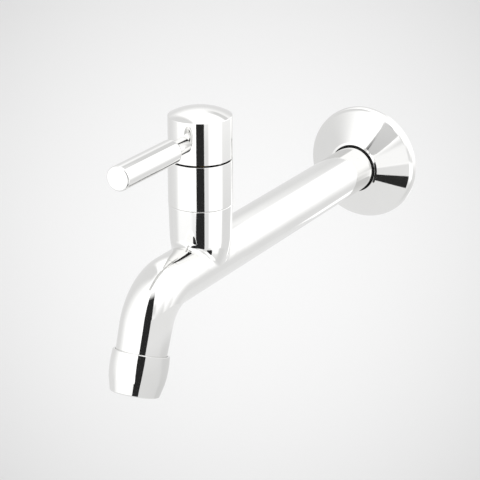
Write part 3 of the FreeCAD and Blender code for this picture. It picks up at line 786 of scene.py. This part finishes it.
def wall_flange():
    """Thin cone shell, hollow towards the wall, with a rounded rim and a collar round the tube."""
    bore = GRIP_RING_R + SNUG
    nose = bore + FLANGE_NOSE
    guard = FLANGE_DEPTH + FLANGE_GUARD_RISE
    lip = FLANGE_DEPTH - FLANGE_LIP
    inner_r = FLANGE_R - FLANGE_SHELL
    rim = Vector((FLANGE_R - FLANGE_EDGE_R, FLANGE_RIM))
    slope = Vector((nose, FLANGE_DEPTH)) - rim
    turn = math.atan2(slope.y, slope.x) - math.acos(FLANGE_EDGE_R / slope.length)
    half, full = (Vector((math.cos(a), math.sin(a))) for a in (turn / 2, turn))
    outside, inside = FLANGE_EDGE_R, FLANGE_EDGE_R - FLANGE_SHELL
    outline = section((FLANGE_R, 0, PLAIN), (FLANGE_R, FLANGE_RIM),
                      (tuple(rim + half * outside), tuple(rim + full * outside)),
                      (nose, FLANGE_DEPTH, BROKEN), (FLANGE_GUARD_R, guard, BROKEN),
                      (FLANGE_GUARD_R, guard - FLANGE_GUARD, BROKEN),
                      (bore, FLANGE_DEPTH - FLANGE_GUARD, BROKEN), (bore, lip, BROKEN),
                      (bore + FLANGE_SHELL, lip, FLANGE_CORNER), tuple(rim + full * inside),
                      (tuple(rim + half * inside), (inner_r, FLANGE_RIM)), (inner_r, 0, PLAIN), closed=True)
    return turned(outline, closed=True, sides=FLANGE_SIDES), place(Vector(), OUT)


def flange_grip_ring():
    """Rubber ring on the tube, held in the flange's collar."""
    inner = TUBE_R + SNUG
    outline = section((inner, GRIP_RING_BACK, PLAIN), (inner, GRIP_RING_FRONT, GRIP_RING_EDGE),
                      (GRIP_RING_R, GRIP_RING_FRONT, GRIP_RING_EDGE), (GRIP_RING_R, GRIP_RING_BACK, PLAIN),
                      closed=True)
    return turned(outline, closed=True), place(Vector(), OUT)


def valve_shroud():
    """Sleeve over the headwork, with a hole in its roof for the bonnet."""
    bore = SHROUD_R - SHROUD_WALL
    low, high = BOSS_TOP + SHROUD_SEAMS[0], SHROUD_TOP - SHROUD_SEAMS[1]
    roof = SHROUD_TOP - SHROUD_ROOF
    outline = section((bore, low, BROKEN), (SHROUD_R, low, SHROUD_FOOT_EDGE), (SHROUD_R, high, PLAIN),
                      (SHROUD_HOLE_R, high, PLAIN), (SHROUD_HOLE_R, roof, PLAIN),
                      (bore, roof, SHROUD_CORNER), closed=True)
    return turned(outline, closed=True, sides=SLEEVE_SIDES), place(VALVE, UP)


def lever_rod():
    """Threaded stud, neck and grip turned from one bar."""
    seat = HUB_R - LEVER_NECK_SEAT
    lead = LEVER_START + LEVER_STUD_LEAD
    stud = section((0, LEVER_START), (LEVER_STUD_R, LEVER_START, LEVER_STUD_EDGE), (LEVER_STUD_R, lead))
    bar = section((LEVER_STUD_R, seat), (LEVER_NECK_R, seat, LEVER_NECK_EDGE),
                  (LEVER_NECK_R, LEVER_GRIP_START, PLAIN),
                  (LEVER_GRIP_R, LEVER_GRIP_START, LEVER_SHOULDER_R),
                  (LEVER_GRIP_R, LEVER_END, LEVER_END_EDGE), (0, LEVER_END))
    thread_end = seat - THREAD_GAP
    rows = thread_rows(LEVER_STUD_R, lead + THREAD_GAP, thread_end, LEVER_THREAD[0])
    shell = threaded(turned(stud + rows + bar), LEVER_STUD_R, LEVER_THREAD, LEVER_START, thread_end)
    return shell, place(VALVE + UP * LEVER_Z, OUT)


def o_ring(node):
    """Round rubber ring, as thick as its solid is high."""
    low, high = span(node)
    thick = (high[2] - low[2]) / 2
    middle = Vector((high[0] - thick, (high[2] + low[2]) / 2))
    angles = spread(0, 2 * math.pi, O_RING_SIDES)[:-1]
    outline = [middle + Vector((math.cos(a), math.sin(a))) * thick for a in angles]
    return turned(outline, closed=True), place(VALVE, UP)


def aerator_screen(node):
    """Woven wire screen in its rim."""
    low, high = span(node)
    rim_r = high[0] - SCREEN_RIM_WIRE_R
    middle = Vector((0, (low[1] + high[1]) / 2, (low[2] + high[2]) / 2))
    values = {"Radius": rim_r, "Rim wire": SCREEN_RIM_WIRE_R, "Wire": SCREEN_WIRE_R, "Weave": SCREEN_WEAVE,
              "Pitch": SCREEN_PITCH, "Wires": SCREEN_WIRES, "Finish": FINISHES["steel"]}
    return grown(Shell(), SCREEN_TREE, values), place(middle, SPOUT_DIR)


def aerator_housing():
    """Barrel-shaped collar with a recess round the spout, a thread and a ledge inside."""
    mouth = COLLAR_H - COLLAR_EDGE
    lip = COLLAR_H - COLLAR_LIP
    outline = section((COLLAR_RECESS_R, 0, PLAIN), (COLLAR_TOP_R, 0, COLLAR_EDGE),
                      (COLLAR_TOP_R, COLLAR_EDGE + COLLAR_RIM), (COLLAR_BELLY, COLLAR_WAIST),
                      (COLLAR_MOUTH_R, mouth, PLAIN), (COLLAR_MOUTH_R - COLLAR_EDGE, COLLAR_H, PLAIN),
                      (COLLAR_LIP_R, COLLAR_H, COLLAR_LIP_EDGE), (COLLAR_LIP_R, lip, BROKEN),
                      (COLLAR_BORE_R, lip), (COLLAR_BORE_R, COLLAR_LEDGE), (COLLAR_THREAD_R, COLLAR_LEDGE),
                      (COLLAR_THREAD_R, COLLAR_RECESS), (COLLAR_RECESS_R, COLLAR_RECESS), closed=True)
    return turned(outline, closed=True, sides=SLEEVE_SIDES), place(COLLAR_START, SPOUT_DIR)


# Finishes

def new_material(name):
    """A new material, its node tree and its Principled shader."""
    material = bpy.data.materials.new(name)
    material.use_nodes = True
    return material, material.node_tree, material.node_tree.nodes["Principled BSDF"]


def finish(name, metallic=0.0):
    """A new material with its Principled shader and its object coordinates in millimetres."""
    material, tree, shader = new_material(name)
    plug(shader.inputs["Metallic"], metallic)
    where = add_node(tree, "ShaderNodeTexCoord", output=3)
    scaled = add_node(tree, "ShaderNodeVectorMath", {"operation": "SCALE"}, {0: where, "Scale": 1 / MM})
    return material, tree, shader, scaled


def noise(tree, where, size, detail=2.0):
    """Smooth random pattern from 0 to 1, with features about size millimetres across."""
    sockets = {"Vector": where, "Scale": 1 / size, "Detail": detail}
    return add_node(tree, "ShaderNodeTexNoise", sockets=sockets)


def between(tree, share, low, high):
    """Mix of two colours."""
    node = tree.nodes.new("ShaderNodeMix")
    node.data_type = "RGBA"
    plug(node.inputs["Factor"], share)
    colours = [s for s in node.inputs if s.type == "RGBA"]
    plug(colours[0], (*low, 1))
    plug(colours[1], (*high, 1))
    return Wire(tree, next(s for s in node.outputs if s.type == "RGBA"))


def bump(tree, height, strength, distance):
    """Fine relief, with its distance in metres."""
    sockets = {"Height": height, "Strength": strength, "Distance": distance}
    return add_node(tree, "ShaderNodeBump", sockets=sockets)


def chrome():
    material, tree, shader, where = finish("polished_chrome", 1.0)
    cloud = noise(tree, where, 22.0)
    polish = noise(tree, where, 1.4, 3.0)
    plug(shader.inputs["Base Color"], between(tree, cloud, (0.815, 0.813, 0.803), (0.865, 0.863, 0.853)))
    plug(shader.inputs["Roughness"], 0.03 + cloud * 0.02 + polish * 0.015)
    plug(shader.inputs["Normal"], bump(tree, polish, 0.02, 0.00002))
    return material


def raw_brass():
    material, tree, shader, where = finish("machined_brass", 1.0)
    cloud = noise(tree, where, 9.0)
    grain = noise(tree, where, 0.35)
    plug(shader.inputs["Base Color"], between(tree, cloud, (0.62, 0.42, 0.17), (0.78, 0.57, 0.27)))
    plug(shader.inputs["Roughness"], 0.24 + grain * 0.16)
    plug(shader.inputs["Normal"], bump(tree, grain, 0.25, 0.00008))
    return material


def black_rubber():
    material, tree, shader, where = finish("black_rubber")
    grain = noise(tree, where, 0.3)
    cloud = noise(tree, where, 6.0)
    plug(shader.inputs["Base Color"], between(tree, cloud, (0.012, 0.012, 0.013), (0.03, 0.03, 0.032)))
    plug(shader.inputs["Roughness"], 0.5 + grain * 0.25)
    plug(shader.inputs["Normal"], bump(tree, grain, 0.3, 0.00005))
    return material


def ceramic():
    material, tree, shader, where = finish("lapped_ceramic")
    speck = noise(tree, where, 0.5)
    plug(shader.inputs["Base Color"], between(tree, speck, (0.84, 0.82, 0.77), (0.93, 0.92, 0.89)))
    plug(shader.inputs["Roughness"], 0.18 + speck * 0.1)
    return material


def white_plastic():
    material, tree, shader, where = finish("moulded_plastic")
    cloud = noise(tree, where, 5.0)
    grain = noise(tree, where, 0.25)
    plug(shader.inputs["Base Color"], between(tree, cloud, (0.74, 0.75, 0.74), (0.83, 0.84, 0.82)))
    plug(shader.inputs["Roughness"], 0.36 + grain * 0.14)
    plug(shader.inputs["Normal"], bump(tree, grain, 0.12, 0.00004))
    return material


def steel():
    material, tree, shader, where = finish("plain_steel", 1.0)
    cloud = noise(tree, where, 3.0)
    grain = noise(tree, where, 0.2)
    plug(shader.inputs["Base Color"], between(tree, cloud, (0.42, 0.43, 0.44), (0.58, 0.585, 0.59)))
    plug(shader.inputs["Roughness"], 0.22 + grain * 0.16)
    return material


FINISHES = {
    "chromed_brass": chrome(),
    "raw_brass": raw_brass(),
    "black_rubber": black_rubber(),
    "ceramic": ceramic(),
    "white_plastic": white_plastic(),
    "steel": steel(),
}
NODE_SLOTS = {row["node"]: row["material_slot"] for row in frame["record"]["subparts"]}


def show(name, node, mesh):
    """One finished piece, which stands for a solid and moves with its body."""
    slot = NODE_SLOTS[node]
    mesh.materials.clear()
    mesh.materials.append(FINISHES[slot])
    piece = bpy.data.objects.new(name, mesh)
    bpy.context.collection.objects.link(piece)
    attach(piece, frame["nodes"][node]["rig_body"])
    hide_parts(node)


def show_placed(name, node, made):
    """One finished piece from its shell and the matrix that places it."""
    shell, matrix = made
    placed = Shell().add(shell, matrix)
    show(name, node, placed.mesh(name))


# Solids that no piece stands for are shown as they are, in their finishes
for node, solid in frame["nodes"].items():
    for material_slot in solid.material_slots:
        material_slot.material = FINISHES[NODE_SLOTS[node]]

show("tap_body_cast", "tap_body", tap_body())
show_placed("wall_flange_spun", "wall_flange", wall_flange())
show_placed("flange_grip_bead", "flange_grip_ring", flange_grip_ring())
show_placed("valve_shroud_sleeve", "valve_shroud", valve_shroud())
show_placed("lever_rod_turned", "lever_rod", lever_rod())
show_placed("aerator_collar", "aerator_housing", aerator_housing())
for ring_node in ("bonnet_o_ring", "spindle_o_ring_lower", "spindle_o_ring_upper"):
    show_placed(ring_node + "_round", ring_node, o_ring(ring_node))
for screen_node in ("aerator_screen_upper", "aerator_screen_lower"):
    show_placed(screen_node + "_woven", screen_node, aerator_screen(screen_node))


# Camera and studio

CAMERA_AT = Vector((0.46239, -0.95954, 0.34891))
CAMERA_AZIMUTH = math.radians(29.64)
CAMERA_ELEVATION = math.radians(20.54)
CAMERA_LENS = 143.44
CAMERA_SENSOR = 36.0
HALF_VIEW = 0.1255           # tangent of half the camera's angle
FLOOR_Z = -0.60
FLOOR_HALF = 6.0
PAPER_BRIGHT = 0.956         # in the middle of the view, where a pool of light is painted into the paper's colour
PAPER_PAINTED_SHADE = 0.115           # how much painted shade darkens the paper at the middle of the view's sides
PAPER_PAINTED_SHADE_END = 2.2         # times the painted shade above, past which the paper is painted no darker

# Light tent, in metres and degrees. Angles run round the valve from straight ahead of it, -Y, towards +X.
# Heights and depths are measured from the tube's axis.
TENT_R = 0.60
TENT_FLOOR = -0.335
TENT_EAVES = 0.90
TENT_TOP = 1.30
TENT_STEP = 3.0
WALL_ROWS = 40
ROOF_ROWS = 6
FLOOR_ROWS = 12
WHITE = 1.40
BLACK = 0.024

# Black slit of the tent and the patch beside its foot
SLIT_R = 0.30
SLIT = (17.0, 44.5)
SLIT_EDGE = ((0.080, 17.0), (0.100, 13.5), (0.13, 12.0))    # depth, angle of its first side
SLIT_STOPS = ((0.33, BLACK), (0.37, 0.35), (0.41, 0.72), (0.46, 0.95), (0.56, 1.25))   # height, brightness
SLIT_ROWS = ((-0.135, -0.075, 12), (0.30, 0.60, 30))        # from and to which height, and how many
PATCH = (54, 76)
PATCH_TOP = -0.174

# Corners of the grey flag between the flange and the slit, and their brightness
FLAG = ((0.0690, -0.1890, 0.1270), (0.0330, -0.1690, 0.1735),
        (0.1250, -0.1840, 0.1370), (0.1250, -0.1990, 0.0900))
FLAG_LIGHT = (0.66, 0.76, 0.76, 0.66)

# Grey card round the aerator collar's start, with its angles round that point. By depth: its radius, its
# brightness and its first side.
CARD_R = ((0.005, 0.019), (0.010, 0.021), (0.030, 0.030))
CARD_STOPS = ((0, 0.90), (0.020, 0.90), (0.035, 0.83), (0.060, 0.80))
CARD_EDGE = ((0.005, 58), (0.010, 54), (0.014, 51), (0.020, 47), (0.036, 38), (0.044, 34), (0.052, 31))
CARD = (31, 165)
CARD_ROWS = (-0.10, -0.005, 38)
CARD_SHADE = 0.08            # how much darker its far side gets lower down
CARD_SHADE_IN = ((90, 110), (0.02, 0.035))    # angles and depths between which that comes in

# Grey panels of the tent's wall and roof: brightness, then the angles and the heights, in degrees above the
# tent's middle, between which each one comes in and goes out
PANELS = (
    (0.83, (-184, -178), (-125, -115), (-91, -90), (20, 48)),
    (0.82, (-130, -122), (-95, -35), (-91, -90), (70, 85)),
    (0.85, (-100, -85), (-62, -50), (-91, -90), (-22, 2)),
    (0.88, (40, 44), (56, 66), (-91, -90), (-11, -7)),
    (1.12, (40, 44), (56, 66), (-11, -7), (14, 24)),
    (0.88, (40, 44), (56, 66), (14, 24), (30, 44)),
    (0.89, (54, 64), (86, 96), (-7, -4), (10, 34)),
    (0.90, (84, 94), (108, 122), (-7, -4), (-4, 18)),
    (0.84, (108, 118), (170, 171), (-91, -90), (-20, 4)),
    (1.12, (-70, -55), (-4, 4), (-91, -90), (-26, -8)),
    (0.93, (-6, 4), (14, 16), (-91, -90), (-26, -9)),
    (0.77, (-192, -190), (-166, -150), (34, 38), (43, 48)),
)

# The tent's floor, and its patches: what they add, then the angles between which each one comes in and goes
# out, and the distances from the middle between which it comes in
FLOOR_LIGHT = 0.88
FLOOR_PATCHES = (
    (-0.10, (90, 115), (125, 165), (0.15, 0.30)),
    (0.45, (66, 76), (100, 112), (0.42, 0.52)),
)


def ease(value, start, end):
    """Smooth rise from 0 to 1 between start and end."""
    share = min(max((value - start) / (end - start), 0), 1)
    return share * share * (3 - 2 * share)


def stepped(value, stops):
    """What stops of (place, level) come to at a place between them."""
    places, levels = zip(*stops)
    return float(np.interp(value, places, levels))


def tent_wall(angle, height):
    """Brightness of the tent's wall and roof at an angle and a height above its middle, in degrees."""
    angle = (angle + 190) % 360 - 190
    light = WHITE
    for panel, angle_in, angle_out, height_in, height_out in PANELS:
        share = ease(angle, *angle_in) * (1 - ease(angle, *angle_out))
        share *= ease(height, *height_in) * (1 - ease(height, *height_out))
        light += (panel - light) * share
    return light


def tent_floor(angle, radius):
    """Brightness of the tent's floor at an angle and a distance from its middle."""
    light = FLOOR_LIGHT
    for extra, angle_in, angle_out, radius_in in FLOOR_PATCHES:
        light += extra * ease(angle, *angle_in) * (1 - ease(angle, *angle_out)) * ease(radius, *radius_in)
    return light


def stage_piece(name, mesh, material):
    """Piece of the studio."""
    mesh.materials.append(material)
    piece = bpy.data.objects.new(name, mesh)
    bpy.context.collection.objects.link(piece)
    return piece


def light_card(name, shell, lights):
    """Stage piece that only reflections see, with a brightness at each of its points."""
    mesh = bpy.data.meshes.new(name)
    mesh.from_pydata(shell.points, [], shell.faces)
    mesh.attributes.new("brightness", "FLOAT", "POINT").data.foreach_set("value", lights)
    material, tree, shader = new_material(name)
    plug(shader.inputs["Base Color"], (0, 0, 0, 1))
    plug(shader.inputs["Specular IOR Level"], 0)
    plug(shader.inputs["Roughness"], 1)
    plug(shader.inputs["Emission Strength"], 1)
    brightness = add_node(tree, "ShaderNodeAttribute", {"attribute_name": "brightness"}, output=2)
    plug(shader.inputs["Emission Color"], brightness)
    piece = stage_piece(name, mesh, material)
    piece.visible_camera = False
    piece.visible_diffuse = False
    piece.visible_shadow = False


def curved_card(name, centre, rings, brightness, angles=(-180, 180)):
    """Card through rings of (radius, height) about an upright axis, with a brightness for each angle,
    radius and height. A ring can have its own pair of angles as a third item."""
    shell = Shell()
    lights = []
    rows = []
    steps = math.ceil((angles[1] - angles[0]) / TENT_STEP)
    for radius, height, *own in rings:
        turns = spread(*(own[0] if own else angles), steps)
        rows.append(shell.row([(centre.x + radius * math.sin(math.radians(t)),
                                centre.y - radius * math.cos(math.radians(t)), height) for t in turns]))
        lights += [brightness(t, radius, height) for t in turns]
    shell.skin_all(rows, closed=False)
    light_card(name, shell, lights)


def light_tent():
    """White tent round the valve with grey panels."""

    def light(angle, radius, height):
        return tent_wall(angle, math.degrees(math.atan2(height, radius)))

    centre = VALVE * MM
    wall = [(TENT_R, height) for height in spread(TENT_FLOOR, TENT_EAVES, WALL_ROWS)]
    roof = [(TENT_R * (1 - share), TENT_EAVES + (TENT_TOP - TENT_EAVES) * share)
            for share in spread(0, 1, ROOF_ROWS)]
    floor = [(radius, TENT_FLOOR) for radius in spread(0, TENT_R, FLOOR_ROWS)]
    curved_card("tent_wall", centre, wall, light)
    curved_card("tent_roof", centre, roof, light)
    curved_card("tent_floor", centre, floor, lambda angle, radius, height: tent_floor(angle, radius))


def dark_cards():
    """Black slit ahead of the valve, which fades out upwards, with a patch beside its foot."""
    centre = VALVE * MM
    heights = [TENT_FLOOR] + [height for rows in SLIT_ROWS for height in spread(*rows)]
    slit = [(SLIT_R, height, (stepped(-height, SLIT_EDGE), SLIT[1])) for height in heights]
    patch = [(SLIT_R, TENT_FLOOR), (SLIT_R, PATCH_TOP)]
    curved_card("black_slit", centre, slit, lambda angle, radius, height: stepped(height, SLIT_STOPS), SLIT)
    curved_card("black_patch", centre, patch, lambda angle, radius, height: BLACK, PATCH)


def near_cards():
    """Grey flag beside the flange and grey card round the spout."""
    flag = Shell()
    flag.cap(flag.row(FLAG))
    light_card("grey_flag", flag, FLAG_LIGHT)

    def light(angle, radius, height):
        shade_angles, shade_depths = CARD_SHADE_IN
        shade = CARD_SHADE * ease(angle, *shade_angles) * ease(-height, *shade_depths)
        return stepped(-height, CARD_STOPS) - shade

    card = [(stepped(-height, CARD_R), height, (stepped(-height, CARD_EDGE), CARD[1]))
            for height in spread(*CARD_ROWS)]
    curved_card("grey_card", COLLAR_START * MM, card, light, CARD)


def camera():
    """Camera with a long lens, ahead of the tap, to one side and a little above."""
    data = bpy.data.cameras.new("camera")
    data.lens = CAMERA_LENS
    data.sensor_width = CAMERA_SENSOR
    view = bpy.data.objects.new("camera", data)
    back = Vector((math.sin(CAMERA_AZIMUTH) * math.cos(CAMERA_ELEVATION),
                   -math.cos(CAMERA_AZIMUTH) * math.cos(CAMERA_ELEVATION), math.sin(CAMERA_ELEVATION)))
    view.location = CAMERA_AT
    view.rotation_mode = "QUATERNION"
    view.rotation_quaternion = (-back).to_track_quat("-Z", "Y")
    bpy.context.collection.objects.link(view)
    bpy.context.scene.camera = view


def floor_paper_painted_pool():
    """Pale paper with a pool of light painted into its colour: brightest in the middle of the view, with
    painted shade a little darker round it.
    """
    material, tree, shader = new_material("floor_paper_painted_pool")
    x, y, _ = parts_of(tree, add_node(tree, "ShaderNodeTexCoord", output=3))
    sine, cosine = math.sin(CAMERA_AZIMUTH), math.cos(CAMERA_AZIMUTH)
    drop = CAMERA_AT.z - FLOOR_Z
    ahead = (y - CAMERA_AT.y) * cosine - (x - CAMERA_AT.x) * sine
    across = (x - CAMERA_AT.x) * cosine + (y - CAMERA_AT.y) * sine
    tilt_sine, tilt_cosine = math.sin(CAMERA_ELEVATION), math.cos(CAMERA_ELEVATION)
    half_width = (ahead * tilt_cosine + drop * tilt_sine) * HALF_VIEW
    u = across / half_width
    v = (ahead * tilt_sine - drop * tilt_cosine) / half_width
    # Painted shade: the paper's colour gets darker with the square of the distance from the middle of the
    # view
    painted_shade = u * u + v * v
    painted_shade = painted_shade.maths("MINIMUM", painted_shade, PAPER_PAINTED_SHADE_END)
    plug(shader.inputs["Base Color"], PAPER_BRIGHT - painted_shade * PAPER_PAINTED_SHADE)
    plug(shader.inputs["Roughness"], 0.9)
    return material


def studio():
    """White world, paper floor, light tent and cards."""
    world = bpy.data.worlds.new("studio")
    world.use_nodes = True
    plug(world.node_tree.nodes["Background"].inputs["Color"], (1, 1, 1, 1))
    bpy.context.scene.world = world
    bpy.context.scene.view_settings.view_transform = "Standard"
    floor = Shell()
    corners = ((-1, -1), (1, -1), (1, 1), (-1, 1))
    floor.cap(floor.row([(x * FLOOR_HALF, y * FLOOR_HALF, FLOOR_Z) for x, y in corners]))
    stage_piece("floor", floor.mesh("floor", 1), floor_paper_painted_pool())
    light_tent()
    dark_cards()
    near_cards()


camera()
studio()
